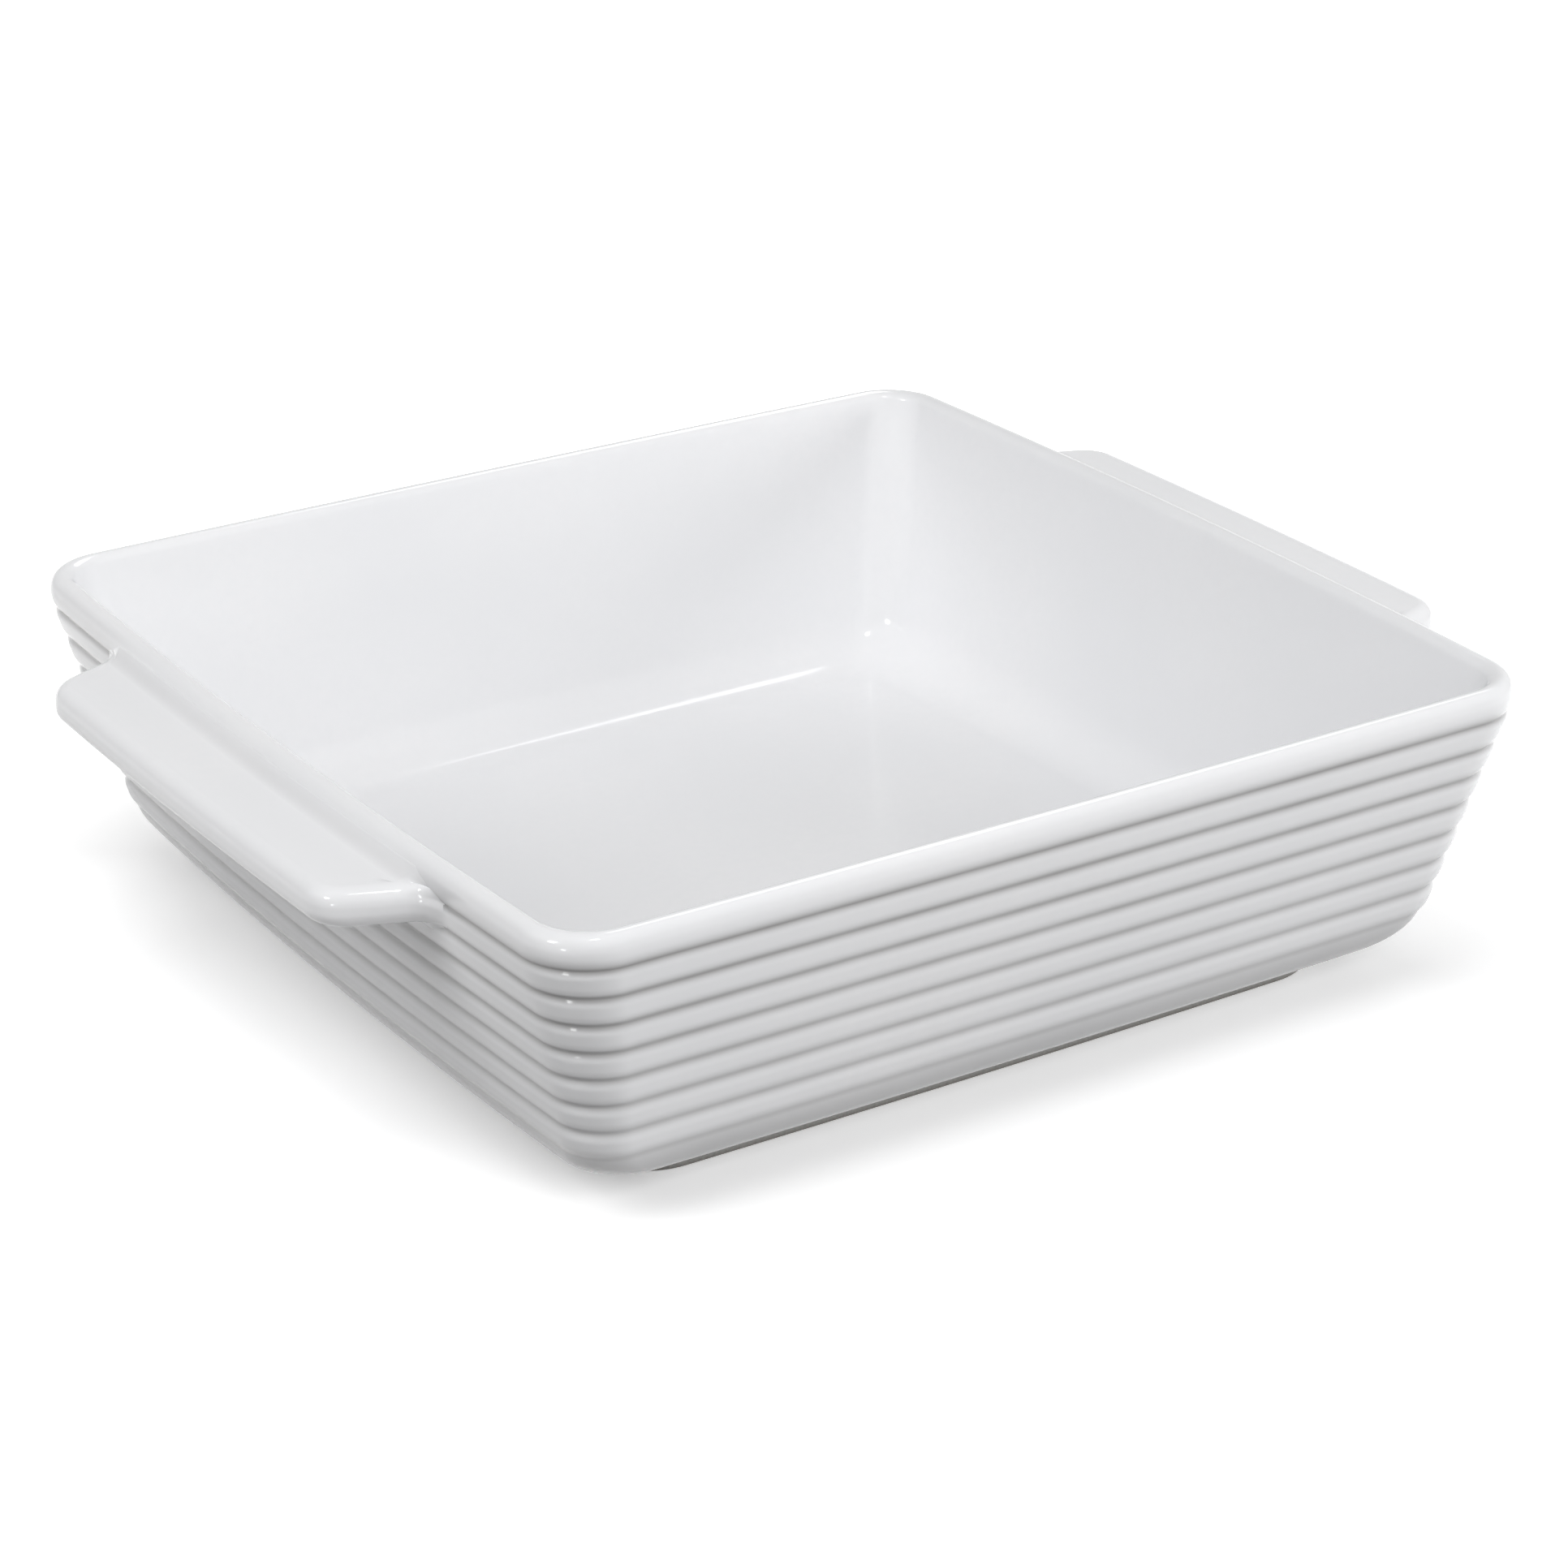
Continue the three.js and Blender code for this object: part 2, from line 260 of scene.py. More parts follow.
def section_stretches():
    """The section as named stretches of (inset, height) points, from the floor's edge to the underside."""
    draft = math.degrees(WALL_DRAFT)
    fillet_height = FLOOR_HEIGHT + FLOOR_FILLET
    fillet_inset = inner_inset(fillet_height) + FLOOR_FILLET / math.cos(WALL_DRAFT)
    fillet = arc((fillet_inset, fillet_height), FLOOR_FILLET, 270, 180 + draft, FILLET_STEPS)

    middle = RIM_WIDTH / 2
    inner_radii = (middle, RIM_HEIGHT - CROWN_FOOT)
    outer_radii = (middle, RIM_HEIGHT - BEAD_HEIGHT)
    inner_crown = arc((middle, CROWN_FOOT), inner_radii, draft, 90, INNER_CROWN_STEPS)
    outer_crown = arc((middle, BEAD_HEIGHT), outer_radii, 90, 180, OUTER_CROWN_STEPS)

    groove = (FIRST_GROOVE_DEPTH, FIRST_GROOVE)
    last_groove = (WAIST_INSET, LAST_GROOVE)
    bead_handles = [(0, BEAD_HEIGHT), (0, FIRST_GROOVE + BEAD_TUCK), groove]
    knee_handles = [last_groove, (groove_inset(KNEE_HEIGHT), KNEE_HEIGHT), (FOOT_INSET, FOOT_HEIGHT)]

    def foot_edge(inset, height, start, end):
        return arc((inset, height), FOOT_ROUNDING, start, end, FOOT_EDGE_STEPS)

    foot_inner = FOOT_INSET + FOOT_WIDTH
    outer_edge = foot_edge(FOOT_INSET + FOOT_ROUNDING, FOOT_ROUNDING, 180, 270)
    inner_edge = foot_edge(foot_inner - FOOT_ROUNDING, FOOT_ROUNDING, 270, 360)
    return {
        "fillet": fillet,
        "inner_wall": bend([fillet[-1], inner_crown[0]], INNER_WALL_STEPS)[1:-1],
        "inner_crown": inner_crown,
        "outer_crown": outer_crown[1:],
        "bead": bend(bead_handles, BEAD_STEPS)[1:-1],
        "wall": bend([groove, last_groove], RIB_STEPS * RIB_COUNT),
        "knee": bend(knee_handles, KNEE_STEPS)[1:],
        "foot": np.vstack((outer_edge, inner_edge)),
        "recess": foot_edge(foot_inner + FOOT_ROUNDING, FOOT_HEIGHT - FOOT_ROUNDING, 180, 90),
    }


def section_mesh():
    """The section as a polyline mesh. Its attributes say how each row is swept round the plan.

    The rows at both ends close in on the middle of the floor and of the underside.
    """
    stretches = section_stretches()
    closings = np.linspace(0, 1, CLOSING_STEPS + 1)
    rows = []
    for closing in closings[:-1]:
        rows.append((*stretches["fillet"][0], INNER_CORNER_RADIUS, closing, 0, 0, 0))
    for name, points in stretches.items():
        for inset, height in points:
            corner = corner_radius(name, inset)
            rows.append((inset, height, corner, 1, name == "wall", name == "foot", pool_shading(name, height)))
    for closing in closings[-2::-1]:
        rows.append((*stretches["recess"][-1], FOOT_CORNER_RADIUS, closing, 0, 0, 0))
    table = np.array(rows, dtype=float)
    mesh = bpy.data.meshes.new("dish_section")
    points = np.column_stack((table[:, 0], np.zeros(len(table)), table[:, 1]))
    mesh.from_pydata(points, list(pairwise(range(len(points)))), [])
    for column, name in enumerate(("corner", "closing", "ribbed", "bare", "pool_shade"), start=2):
        attribute = mesh.attributes.new(name, "FLOAT", "POINT")
        attribute.data.foreach_set("value", table[:, column].astype(np.float32))
    return mesh


# Node trees


class Tree:
    """Shorthand for filling one node tree: values are sockets to link or constants to set."""

    def __init__(self, group):
        self.group = group

    def feed(self, socket, value):
        if isinstance(value, bpy.types.NodeSocket):
            self.group.links.new(value, socket)
        else:
            socket.default_value = value

    def add(self, kind, values=(), **settings):
        """A node with its settings, and with its inputs fed by place or, from a dictionary, by name."""
        node = self.group.nodes.new(kind)
        for name, setting in settings.items():
            setattr(node, name, setting)
        fed = values.items() if isinstance(values, dict) else enumerate(values)
        for key, value in fed:
            self.feed(node.inputs[key], value)
        return node

    def math(self, operation, *values):
        return self.add("ShaderNodeMath", values, operation=operation).outputs[0]

    def vector(self, operation, *values):
        return self.add("ShaderNodeVectorMath", values, operation=operation).outputs["Vector"]

    def scaled(self, vector, factor):
        values = {"Vector": vector, "Scale": factor}
        return self.add("ShaderNodeVectorMath", values, operation="SCALE").outputs[0]

    def split(self, vector):
        return self.add("ShaderNodeSeparateXYZ", [vector]).outputs

    def joined(self, **axes):
        return self.add("ShaderNodeCombineXYZ", axes).outputs[0]

    def noise(self, place, scale, detail=NOISE_DETAIL):
        values = {"Vector": place, "Scale": scale, "Detail": detail}
        return self.add("ShaderNodeTexNoise", values).outputs["Fac"]

    def spread(self, value, low, high):
        """A noise value spread over a range."""
        return self.add("ShaderNodeMapRange", [value, *NOISE_RANGE, low, high]).outputs[0]

    def colours(self, share, first, second):
        """A mix of two colours, by the places of the mix node's colour sockets."""
        return self.add("ShaderNodeMix", {0: share, 6: first, 7: second}, data_type="RGBA").outputs[2]

    def blend(self, share, first, second):
        """A mix of two numbers, by the places of the mix node's number sockets."""
        return self.add("ShaderNodeMix", {0: share, 2: first, 3: second}, data_type="FLOAT").outputs[0]

    def position(self):
        return self.add("GeometryNodeInputPosition").outputs[0]

    def attribute(self, name):
        return self.add("GeometryNodeInputNamedAttribute", {"Name": name}, data_type="FLOAT").outputs[0]

    def stored(self, geometry, name, value):
        values = {"Geometry": geometry, "Name": name, "Value": value}
        settings = {"data_type": "FLOAT", "domain": "POINT"}
        return self.add("GeometryNodeStoreNamedAttribute", values, **settings).outputs[0]

    def sampled(self, geometry, value, index, data_type="FLOAT"):
        values = {"Geometry": geometry, "Value": value, "Index": index}
        return self.add("GeometryNodeSampleIndex", values, data_type=data_type, domain="POINT").outputs[0]


SWEEP_SIZES = {
    "Half Side": HALF_SIDE,
    "Handle Side Bow": HANDLE_SIDE_BOW,
    "Plain Side Bow": PLAIN_SIDE_BOW,
    "First Groove": FIRST_GROOVE,
    "Rib Pitch": RIB_PITCH,
    "Groove Depth": GROOVE_DEPTH,
    "Lip Under Groove": LIP_UNDER_GROOVE,
    "Lip Over Groove": LIP_OVER_GROOVE,
    "Groove Softness": GROOVE_SOFTNESS,
    "Pool Shade Fading": POOL_SHADE_FADING,
    "Wall Draft": WALL_DRAFT,
    "Corner Steps": CORNER_STEPS,
    "Side Steps": SIDE_STEPS,
}


def ribbed_section(tree, inputs):
    """Raises the ribbed rows of the section into ribs, flat between rounded lips.

    The feet of the grooves grow rounder towards the base. Glaze pools in them with painted shade, less the
    lower they lie.
    """
    height = tree.split(tree.position())["Z"]
    drop = tree.math("SUBTRACT", inputs["First Groove"], height)
    turns = tree.math("DIVIDE", drop, inputs["Rib Pitch"])
    softness = tree.math("MULTIPLY_ADD", inputs["Groove Softness"], turns, inputs["Groove Softness"])
    soft_square = tree.math("MULTIPLY", softness, softness)

    def short_of_lip(share, lip):
        """How far a point lies inside a lip, for its share of the way to the next groove."""
        distance = tree.math("MULTIPLY", share, inputs["Rib Pitch"])
        rounded = tree.math("SQRT", tree.math("MULTIPLY_ADD", distance, distance, soft_square))
        from_foot = tree.math("SUBTRACT", rounded, softness)
        return tree.math("SUBTRACT", 1.0, tree.math("DIVIDE", from_foot, inputs[lip]))

    below = tree.math("FRACT", turns)
    under = short_of_lip(below, "Lip Under Groove")
    over = short_of_lip(tree.math("SUBTRACT", 1.0, below), "Lip Over Groove")
    sunk = tree.math("POWER", tree.math("MAXIMUM", tree.math("MAXIMUM", under, over), 0.0), 2.0)
    rise = tree.math("MULTIPLY", tree.math("SUBTRACT", 1.0, sunk), inputs["Groove Depth"])
    outwards = tree.joined(
        X=tree.math("MULTIPLY", tree.math("COSINE", inputs["Wall Draft"]), -1.0),
        Z=tree.math("MULTIPLY", tree.math("SINE", inputs["Wall Draft"]), -1.0),
    )
    ribbed = tree.attribute("ribbed")
    offset = tree.scaled(outwards, tree.math("MULTIPLY", rise, ribbed))
    # Painted shade in the grooves, where the glaze also pools, fading towards the base
    fading = tree.math("SUBTRACT", 1.0, tree.math("MULTIPLY", turns, inputs["Pool Shade Fading"]))
    in_grooves = tree.math("MULTIPLY", tree.math("MULTIPLY", sunk, fading), ribbed)
    pool_shade = tree.math("MAXIMUM", in_grooves, tree.attribute("pool_shade"))
    noted = tree.stored(inputs["Section"], "pool_shade", pool_shade)
    return tree.add("GeometryNodeSetPosition", {"Geometry": noted, "Offset": offset}).outputs[0]


def plan_directions(tree, inputs, column):
    """For a column of the sweep, its place on the square of corners and its outward direction."""
    steps = tree.math("ADD", inputs["Corner Steps"], inputs["Side Steps"])
    corner = tree.math("FLOOR", tree.math("DIVIDE", column, steps))
    step = tree.math("SUBTRACT", column, tree.math("MULTIPLY", corner, steps))
    round_share = tree.math("MINIMUM", tree.math("DIVIDE", step, inputs["Corner Steps"]), 1.0)
    past_corner = tree.math("MAXIMUM", tree.math("SUBTRACT", step, inputs["Corner Steps"]), 0.0)
    side_share = tree.math("DIVIDE", past_corner, inputs["Side Steps"])

    def on_circle(quarters):
        angle = tree.math("MULTIPLY", quarters, math.pi / 2)
        return tree.joined(X=tree.math("COSINE", angle), Y=tree.math("SINE", angle))

    outwards = on_circle(tree.math("ADD", tree.math("SUBTRACT", corner, 1.0), round_share))
    this_corner = tree.scaled(on_circle(tree.math("SUBTRACT", corner, 0.5)), math.sqrt(2))
    next_corner = tree.scaled(on_circle(tree.math("ADD", corner, 0.5)), math.sqrt(2))
    to_next = tree.scaled(tree.vector("SUBTRACT", next_corner, this_corner), side_share)
    return tree.vector("ADD", this_corner, to_next), outwards


def bowed(tree, inputs, flat, half):
    """Bows the four sides of a ring outwards, most at their middles."""
    place = tree.split(flat)
    moved = {}
    for axis, other, bow in (("X", "Y", "Handle Side Bow"), ("Y", "X", "Plain Side Bow")):
        along = tree.math("DIVIDE", place[other], half)
        share = tree.math("SUBTRACT", 1.0, tree.math("MULTIPLY", along, along))
        growth = tree.math("MULTIPLY", tree.math("DIVIDE", inputs[bow], half), share)
        moved[axis] = tree.math("MULTIPLY_ADD", place[axis], growth, place[axis])
    return tree.joined(**moved)


def dish_tree():
    """Geometry nodes that rib a section and sweep it round a rounded square with bowed sides."""
    group = bpy.data.node_groups.new("ribbed_dish", "GeometryNodeTree")
    sockets = {"Section": "NodeSocketGeometry"}
    for name, size in SWEEP_SIZES.items():
        sockets[name] = "NodeSocketInt" if isinstance(size, int) else "NodeSocketFloat"
    sockets["Glaze"] = "NodeSocketMaterial"
    for name, kind in sockets.items():
        group.interface.new_socket(name, in_out="INPUT", socket_type=kind)
    group.interface.new_socket("Dish", in_out="OUTPUT", socket_type="NodeSocketGeometry")
    tree = Tree(group)
    inputs = tree.add("NodeGroupInput").outputs
    section = ribbed_section(tree, inputs)

    size = tree.add("GeometryNodeAttributeDomainSize", [section], component="MESH").outputs["Point Count"]
    last_row = tree.math("SUBTRACT", size, 1.0)
    around = tree.math("MULTIPLY", tree.math("ADD", inputs["Corner Steps"], inputs["Side Steps"]), 4.0)
    columns = tree.math("ADD", around, 1.0)
    grid = tree.add("GeometryNodeMeshGrid", [around, last_row, columns, size]).outputs["Mesh"]
    place = tree.split(tree.position())
    column = tree.math("ROUND", tree.math("MULTIPLY_ADD", around, 0.5, place["X"]))
    row = tree.math("ROUND", tree.math("MULTIPLY_ADD", last_row, 0.5, place["Y"]))

    profile = tree.split(tree.sampled(section, tree.position(), row, "FLOAT_VECTOR"))
    radius = tree.sampled(section, tree.attribute("corner"), row)
    closing = tree.sampled(section, tree.attribute("closing"), row)
    corner, outwards = plan_directions(tree, inputs, tree.math("MODULO", column, around))
    half = tree.math("SUBTRACT", inputs["Half Side"], profile["X"])
    straight = tree.scaled(corner, tree.math("SUBTRACT", half, radius))
    flat = tree.vector("ADD", straight, tree.scaled(outwards, radius))
    ring = tree.scaled(bowed(tree, inputs, flat, half), closing)
    place_on_dish = tree.vector("ADD", ring, tree.joined(Z=profile["Z"]))

    swept = grid
    for name in ("pool_shade", "bare"):
        swept = tree.stored(swept, name, tree.sampled(section, tree.attribute(name), row))
    swept = tree.add("GeometryNodeSetPosition", {"Geometry": swept, "Position": place_on_dish})
    merging = {"Geometry": swept.outputs[0], "Distance": MERGE_DISTANCE}
    closed = tree.add("GeometryNodeMergeByDistance", merging)
    outward = tree.add("GeometryNodeFlipFaces", {"Mesh": closed.outputs[0]})
    shading = {"Geometry": outward.outputs[0], "Shade Smooth": True}
    smooth = tree.add("GeometryNodeSetShadeSmooth", shading)
    realized = tree.add("GeometryNodeRealizeInstances", [smooth.outputs[0]])
    finish = {"Geometry": realized.outputs[0], "Material": inputs["Glaze"]}
    glazed = tree.add("GeometryNodeSetMaterial", finish)
    tree.add("NodeGroupOutput", [glazed.outputs[0]])
    return group


def make_dish_body(glaze):
    """The ribbed body, swept by its node tree and then kept as a plain mesh."""
    body = new_object("dish_body_glazed", section_mesh())
    modifier = body.modifiers.new("sweep", "NODES")
    modifier.node_group = dish_tree()
    values = {**SWEEP_SIZES, "Glaze": glaze}
    for item in modifier.node_group.interface.items_tree:
        if item.name in values:
            modifier[item.identifier] = values[item.name]
    evaluated = body.evaluated_get(bpy.context.evaluated_depsgraph_get())
    swept = bpy.data.meshes.new_from_object(evaluated)
    body.modifiers.clear()
    body.data = swept
    return body


# Handles


def side_bow(along):
    """How far a handle's side of the rim bows out, at a distance along it from its middle."""
    return HANDLE_SIDE_BOW * (1 - (along / HALF_SIDE) ** 2)


class Wall:
    """The outside of the finished body's right-hand wall, as reaches past the rim's side."""

    def __init__(self, body):
        corners = [vertex.co for vertex in body.data.vertices]
        self.surface = BVHTree.FromPolygons(corners, [face.vertices for face in body.data.polygons])

    def at(self, height, along):
        """Reach of the wall there, and its outward normal in (reach, height)."""
        start = Vector((2 * HALF_SIDE, along, height))
        hit, normal, _, _ = self.surface.ray_cast(start, Vector((-1, 0, 0)))
        return hit.x - HALF_SIDE - side_bow(along), Vector((normal.x, normal.z)).normalized()


def rounded_corner(before, corner, after, radius, steps):
    """Arc of a given radius that rounds the corner between two straight runs."""
    back = (before - corner).normalized()
    ahead = (after - corner).normalized()
    half = back.angle(ahead) / 2
    centre = corner + (back + ahead).normalized() * radius / math.sin(half)
    start = corner + back * radius / math.tan(half) - centre
    end = corner + ahead * radius / math.tan(half) - centre
    turn = math.atan2(start.cross(end), start.dot(end))
    first = math.atan2(start.y, start.x)
    angles = np.linspace(first, first + turn, steps + 1)
    return [centre + Vector((math.cos(angle), math.sin(angle))) * radius for angle in angles]


def rounded_minimum(first, second, width):
    """The lesser of two lengths, eased where they differ by less than the width."""
    overlap = max(width - abs(first - second), 0) / width
    return min(first, second) - overlap ** 2 * width / 4


def handle_outline(reach, wall_reach, inset):
    """One level outline of the handle in (reach, along): out of the wall, round the nose and back in.

    It is the whole shelf's outline drawn in by the inset, and goes no farther out than the reach.
    """
    slope = (NOSE_LENGTH - ROOT_LENGTH) / 2 / HANDLE_REACH
    drawn = inset * math.hypot(1, slope)

    def end_at(distance):
        return Vector((distance, ROOT_LENGTH / 2 + slope * distance - drawn))

    wall = end_at(wall_reach)
    corner = end_at(HANDLE_REACH - inset)
    wall_run = Vector((wall_reach, 2 * HALF_SIDE))
    nose_run = Vector((corner.x, 0))
    farthest = max(reach, wall_reach + SEAT_SINK)
    half = rounded_corner(wall_run, wall, corner, END_FILLET, END_FILLET_STEPS)
    for point in half:
        point.x = rounded_minimum(point.x, farthest, MITRE_ROUNDING)
    half.insert(0, half[0] - Vector((ROOT_DEPTH, 0)))
    nose = rounded_corner(wall, corner, nose_run, NOSE_CORNER_RADIUS - inset, NOSE_CORNER_STEPS)
    nose += [Vector((corner.x, along)) for along in np.linspace(nose[-1].y, 0, NOSE_STEPS + 1)[1:]]
    half += [Vector((min(point.x, farthest), point.y)) for point in nose]
    return half + [Vector((point.x, -point.y)) for point in reversed(half[:-1])]


def run_out(wall, height, shelf):
    """Fillet between a face of the shelf and the wall, which it meets at the height.

    Gives its centre, its radius and the angle, in degrees, at which it meets the wall.
    """
    reach, normal = wall.at(height, 0)
    rise = height - shelf
    radius = abs(rise) / (1 - normal.y * math.copysign(1, rise))
    centre = Vector((reach, height)) + radius * normal
    return centre, radius, math.degrees(math.atan2(-normal.y, -normal.x)) % 360


def handle_section(wall):
    """Section of the handle in (reach, height), from the rim down to the wall under the shelf."""
    upper, upper_radius, upper_start = run_out(wall, UPPER_RUN_OUT, SHELF_TOP)
    lower, lower_radius, lower_end = run_out(wall, LOWER_RUN_OUT, SHELF_BOTTOM)
    nose = HANDLE_REACH - EDGE_RADIUS
    upper_fillet = arc(upper, upper_radius, upper_start, 270, UPPER_FILLET_STEPS)
    top_edge = arc((nose, SHELF_TOP - EDGE_RADIUS), EDGE_RADIUS, 90, 0, EDGE_STEPS)
    under_edge = arc((nose, SHELF_BOTTOM + EDGE_RADIUS), EDGE_RADIUS, 0, -90, EDGE_STEPS)
    lower_fillet = arc(lower, lower_radius, 90, lower_end, LOWER_FILLET_STEPS)
    return np.vstack((
        upper_fillet,
        bend([upper_fillet[-1], top_edge[0]], SHELF_STEPS)[1:-1],
        top_edge,
        bend([top_edge[-1], under_edge[0]], NOSE_FACE_STEPS)[1:-1],
        under_edge,
        bend([under_edge[-1], lower_fillet[0]], SHELF_STEPS)[1:-1],
        lower_fillet,
    ))


def stacked_faces(levels, count):
    """Faces of a closed stack of level outlines, each of the same count of points, from the top down."""
    last = (levels - 1) * count
    faces = [tuple(reversed(range(count)))]
    for start in range(0, last, count):
        for place in range(count):
            beside = (place + 1) % count
            faces.append((start + beside, start + count + beside, start + count + place, start + place))
    faces.append(tuple(range(last, last + count)))
    return faces


def make_handle(name, wall, turn, glaze):
    """A shelf handle seated on the wall, turned about the dish's upright axis.

    Painted shade greys the glaze in the hollow between the shelf and the rim.
    """
    section = handle_section(wall)
    points = []
    pool_shade = []
    for reach, height in section:
        inset = min(HANDLE_REACH - reach, EDGE_RADIUS)
        wall_reach = wall.at(height, ROOT_LENGTH / 2)[0] - SEAT_SINK
        outline = handle_outline(reach, wall_reach, inset)
        points += [(HALF_SIDE + point.x + side_bow(point.y), point.y, height) for point in outline]
        # Painted shade in the hollow between the shelf top and the rim
        hollow = max(0, height - SHELF_TOP) / (UPPER_RUN_OUT - SHELF_TOP)
        pool_shade += [HOLLOW_SHADE * math.sin(math.pi * math.sqrt(hollow))] * len(outline)
    mesh = bpy.data.meshes.new(name)
    mesh.from_pydata(points, [], stacked_faces(len(section), len(points) // len(section)))
    mesh.attributes.new("pool_shade", "FLOAT", "POINT").data.foreach_set("value", pool_shade)
    mesh.transform(Matrix.Rotation(turn, 4, "Z"))
    mesh.shade_smooth()
    mesh.materials.append(glaze)
    return new_object(name, mesh)


# Finishes


def node_material(name):
    """An empty node material, and the tree to fill."""
    material = bpy.data.materials.new(name)
    material.use_nodes = True
    material.node_tree.nodes.clear()
    return material, Tree(material.node_tree)


def white_glaze():
    """Glossy white glaze over stoneware: cloudy, greyed with painted shade in the grooves, where it also
    pools, under the knee and in the handles' hollows, and wiped off the foot ring, whose clay is darkened
    as painted shade.
    """
    material, tree = node_material("white_glaze")
    place = tree.add("ShaderNodeTexCoord").outputs["Object"]
    pool_shade = tree.add("ShaderNodeAttribute", attribute_name="pool_shade").outputs["Fac"]
    bare = tree.add("ShaderNodeAttribute", attribute_name="bare").outputs["Fac"]
    clouds = tree.noise(place, CLOUD_SCALE)
    mottle = tree.noise(place, MOTTLE_SCALE)
    white = tree.colours(tree.spread(clouds, 0.0, 1.0), GLAZE_WHITE, GLAZE_CLOUD)
    mottled = tree.colours(tree.spread(mottle, 0.0, MOTTLE_SHARE), white, GLAZE_CLOUD)
    # Painted shade: the glaze turns grey in the grooves, under the knee and in the handles' hollows
    pool_shade_mix = tree.math("MULTIPLY", pool_shade, tree.spread(tree.noise(place, POOL_SHADE_SCALE), *POOL_SHADE_SHARE))
    glazed = tree.colours(pool_shade_mix, mottled, GLAZE_POOL_SHADE)
    grain = tree.noise(place, GRAIN_SCALE)
    # Bare clay of the foot ring, darkened as painted shade along the base
    clay_and_shade = tree.colours(tree.spread(grain, 0.0, 1.0), CLAY_AND_SHADE_PALE, CLAY_AND_SHADE_DARK)
    gloss = tree.spread(tree.noise(place, GLOSS_SCALE), *GLAZE_ROUGHNESS)
    ripple = tree.math("MULTIPLY", tree.noise(place, RIPPLE_SCALE, RIPPLE_DETAIL), RIPPLE_HEIGHT)
    peel = tree.math("MULTIPLY_ADD", mottle, PEEL_HEIGHT, ripple)
    height = tree.math("MULTIPLY_ADD", tree.math("MULTIPLY", grain, bare), GRAIN_HEIGHT, peel)
    shader = tree.add("ShaderNodeBsdfPrincipled", {
        "Base Color": tree.colours(bare, glazed, clay_and_shade),
        "Roughness": tree.blend(bare, gloss, CLAY_ROUGHNESS),
        "Normal": tree.add("ShaderNodeBump", {"Height": height, "Distance": 1.0}).outputs[0],
    })
    tree.add("ShaderNodeOutputMaterial", [shader.outputs[0]])
    return material


def seen_directly(tree):
    """One for what the camera sees, itself or in a reflection, and zero for light that bounces."""
    path = tree.add("ShaderNodeLightPath").outputs
    mirrored = tree.math("MAXIMUM", path["Is Glossy Ray"], path["Is Transmission Ray"])
    return tree.math("MAXIMUM", path["Is Camera Ray"], mirrored)


def pale_floor():
    """White to look at apart from the dish's shadow, greyer in the light that it throws back."""
    material, tree = node_material("pale_floor")
    seen = seen_directly(tree)
    matt = tree.add("ShaderNodeBsdfDiffuse", {"Color": tree.colours(seen, FLOOR_BOUNCE, FLOOR_WHITE)})
    place = tree.split(tree.add("ShaderNodeTexCoord").outputs["Object"])
    from_middle = tree.math("MAXIMUM", *(tree.math("ABSOLUTE", place[axis]) for axis in "XY"))
    away = tree.add("ShaderNodeMapRange", [from_middle, FLOOR_GLOW_FROM, FLOOR_GLOW_TO, *FLOOR_GLOW])
    glow = tree.add("ShaderNodeEmission", {"Strength": tree.math("MULTIPLY", seen, away.outputs[0])})
    lit = tree.add("ShaderNodeAddShader", [matt.outputs[0], glow.outputs[0]])
    under = tree.add("ShaderNodeNewGeometry").outputs["Backfacing"]
    clear = tree.add("ShaderNodeBsdfTransparent")
    floor = tree.add("ShaderNodeMixShader", [under, lit.outputs[0], clear.outputs[0]])
    tree.add("ShaderNodeOutputMaterial", [floor.outputs[0]])
    return material


# Stage


def make_floor():
    """The pale floor that the dish stands on, clear from below."""
    mesh = bpy.data.meshes.new("floor")
    directions = ((-1, -1), (1, -1), (1, 1), (-1, 1))
    corners = [(FLOOR_REACH * across, FLOOR_REACH * along, 0) for across, along in directions]
    mesh.from_pydata(corners, [], [(0, 1, 2, 3)])
    mesh.materials.append(pale_floor())
    floor = new_object("floor", mesh)


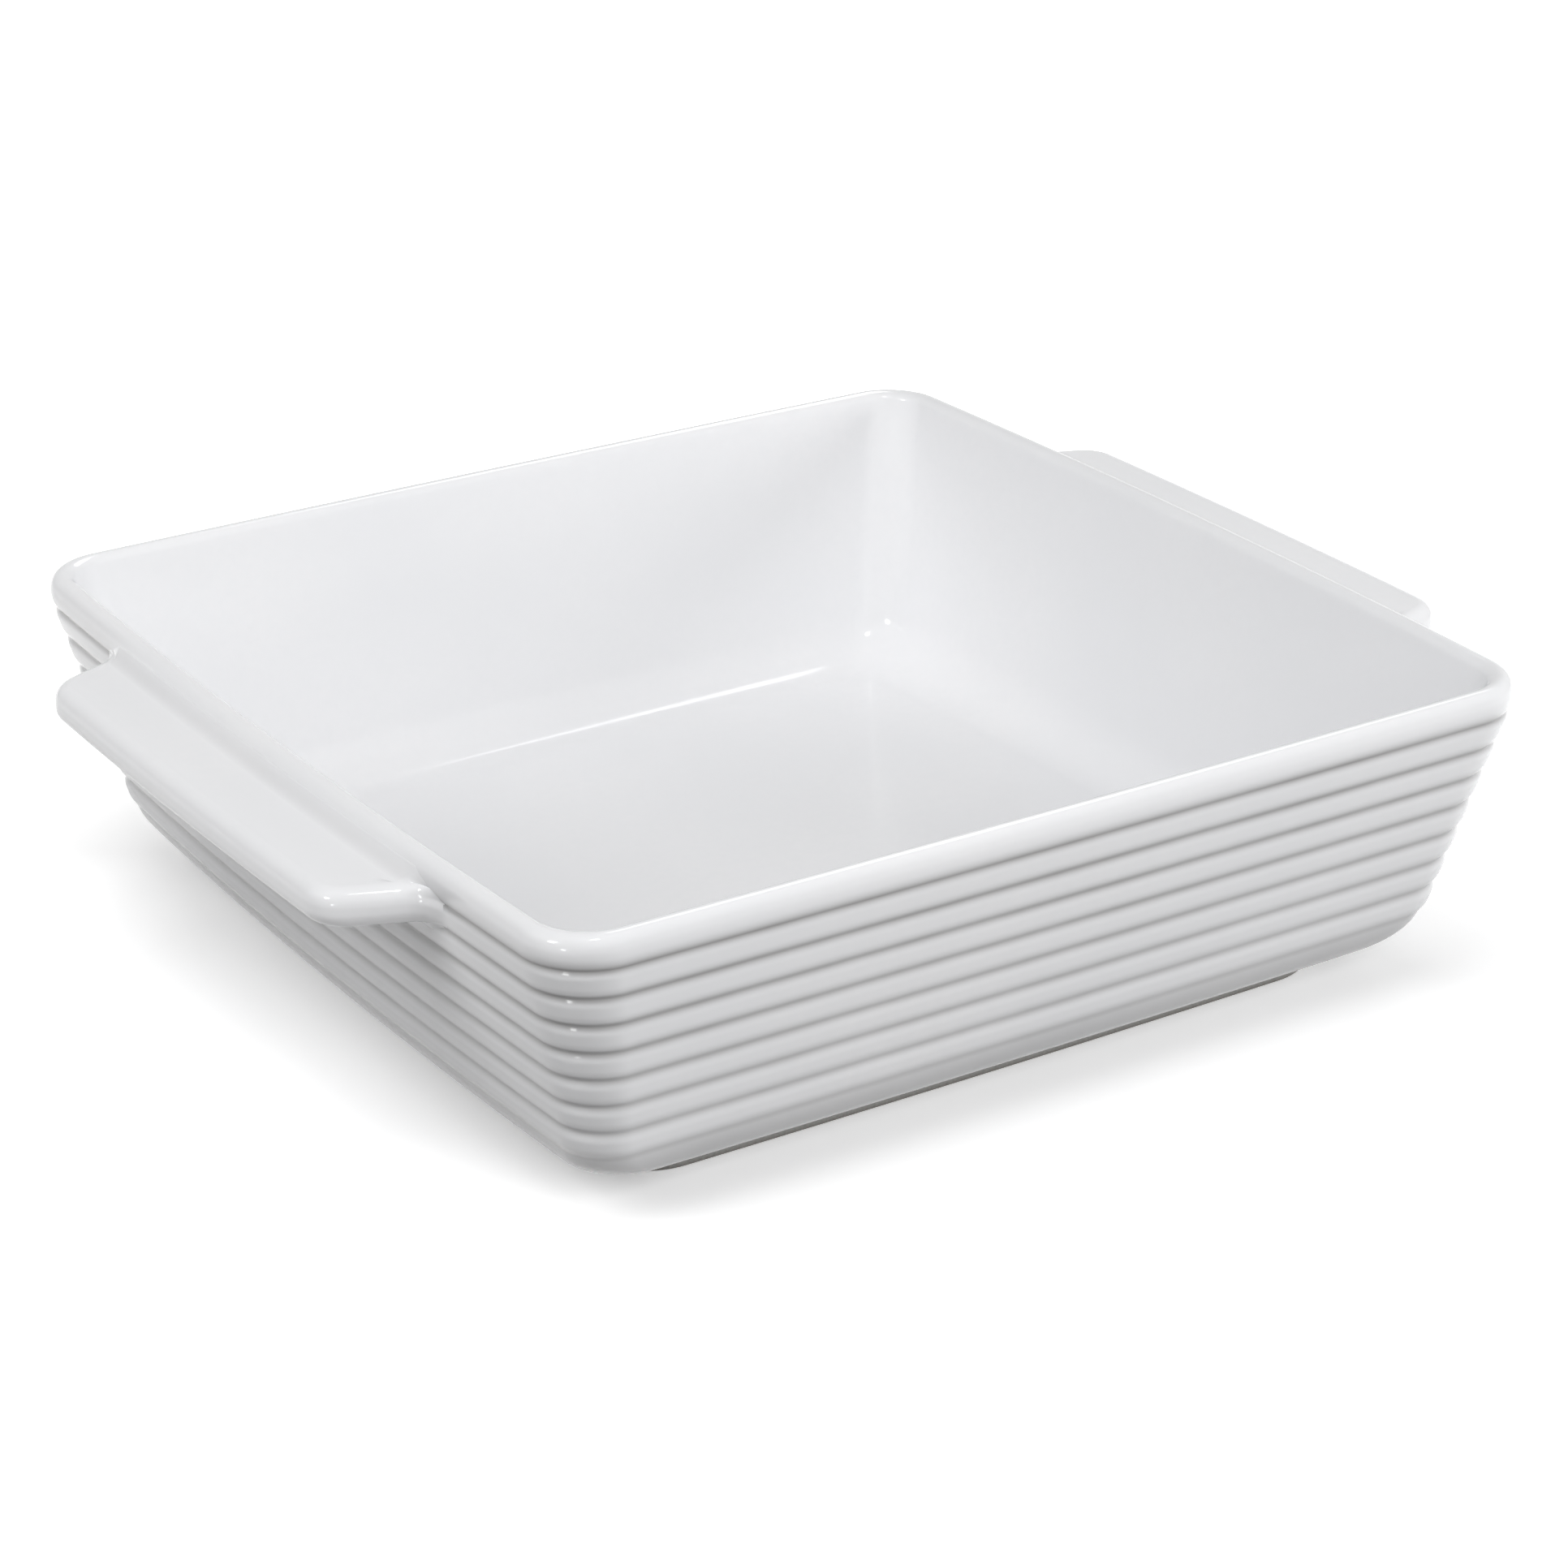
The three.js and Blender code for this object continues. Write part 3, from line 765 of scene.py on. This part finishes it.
def make_lamp(name, reflected, azimuth, elevation, width, height, power):
    """A lamp aimed at the dish, placed by its direction in degrees as the camera is."""
    light = bpy.data.lights.new(name, "AREA")
    light.shape = "RECTANGLE"
    light.size = width
    light.size_y = height
    light.energy = power
    lamp = new_object(name, light)
    turn = Matrix.Rotation(math.radians(azimuth), 4, "Z")
    tilt = Matrix.Rotation(math.pi / 2 - math.radians(elevation), 4, "X")
    lamp.matrix_world = turn @ tilt @ Matrix.Translation((0, 0, LAMP_DISTANCE))
    lamp.visible_camera = False
    lamp.visible_glossy = reflected
    lamp.visible_diffuse = not reflected


def make_world():
    """A sky that is white to look at and gives little light."""
    world = bpy.data.worlds.new("studio")
    world.use_nodes = True
    world.node_tree.nodes.clear()
    tree = Tree(world.node_tree)
    strength = tree.blend(seen_directly(tree), SKY_LIGHT, SKY_SEEN)
    sky = tree.add("ShaderNodeBackground", {"Color": SKY_WHITE, "Strength": strength})
    tree.add("ShaderNodeOutputWorld", [sky.outputs[0]])
    bpy.context.scene.world = world


def make_camera():
    """The photograph's camera."""
    data = bpy.data.cameras.new("camera")
    data.lens = CAMERA_LENS
    data.sensor_width = CAMERA_SENSOR
    camera = new_object("camera", data)
    aim = Matrix.Rotation(CAMERA_AZIMUTH, 4, "Z") @ Matrix.Rotation(math.pi / 2 - CAMERA_ELEVATION, 4, "X")
    camera.matrix_world = aim @ Matrix.Translation(CAMERA_OFFSET) @ Matrix.Rotation(CAMERA_ROLL, 4, "Z")
    bpy.context.scene.camera = camera


def seat(piece, node):
    """Puts a piece in the place of a node of the frame."""
    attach(piece, "root")
    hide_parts(node)


def main():
    glaze = white_glaze()
    body = make_dish_body(glaze)
    wall = Wall(body)
    seat(body, "dish_body")
    seat(make_handle("right_handle_glazed", wall, 0, glaze), "right_handle")
    seat(make_handle("left_handle_glazed", wall, math.pi, glaze), "left_handle")
    make_floor()
    for lamps, reflected in ((SOFTBOXES, False), (REFLECTED_LAMPS, True)):
        for name, sizes in lamps.items():
            make_lamp(name, reflected, *sizes)
    make_world()
    make_camera()
    bpy.context.scene.view_settings.view_transform = "Standard"


main()
